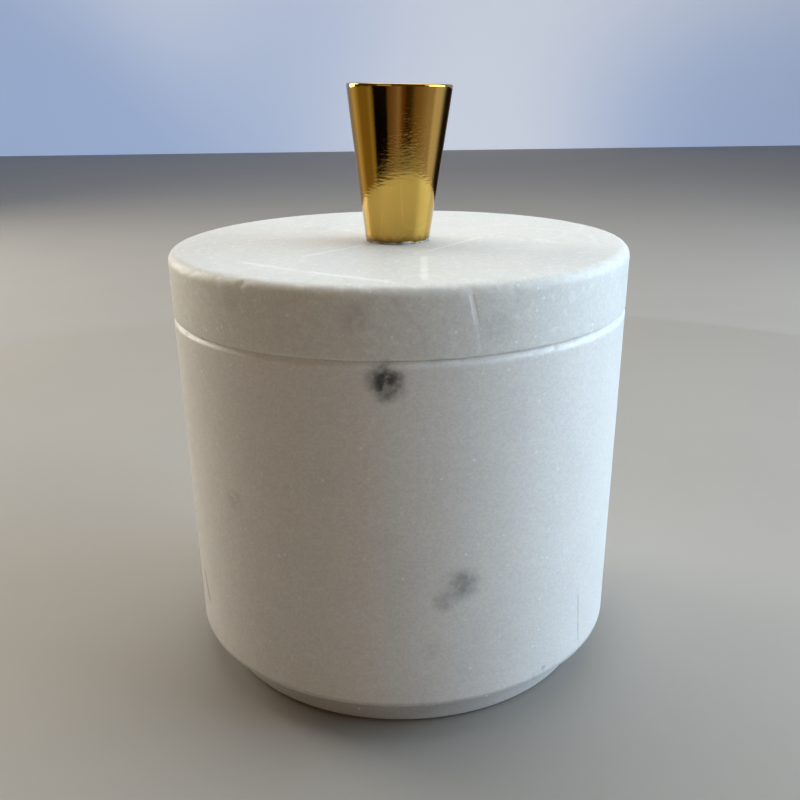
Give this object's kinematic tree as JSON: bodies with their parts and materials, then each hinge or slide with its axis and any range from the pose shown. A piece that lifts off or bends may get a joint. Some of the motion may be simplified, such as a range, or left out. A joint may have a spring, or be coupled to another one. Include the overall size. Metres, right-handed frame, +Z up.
{
  "type": "powder jar",
  "caption": "Round stone powder jar with a recessed foot, a flat disc lid that lifts off, and a tapered metal knob bolted through the lid.",
  "frame": {"origin": "centre of the standing plane, under the jar's turning axis", "axes": "+Z up along the turning axis, from the pads to the knob"},
  "size_m": [0.1, 0.1, 0.128],
  "materials": {
    "marble": "honed and waxed",
    "brass": "polished, fine turning marks",
    "steel": "zinc plated",
    "cushion": "matt",
    "pad": "matt"
  },
  "bodies": {
    "jar": {"jar_body": "marble", "base_pad_1": "pad", "base_pad_2": "pad", "base_pad_3": "pad", "base_pad_4": "pad"},
    "lid": {"lid": "marble", "knob": "brass", "knob_screw": "steel", "screw_washer": "steel", "cushion_washer": "cushion"}
  },
  "joints": [
    {"name": "lid_lift", "type": "slide", "parent": "jar", "child": "lid", "axis": [0, 0, 1], "range_m": [0, 0.05]}
  ]
}
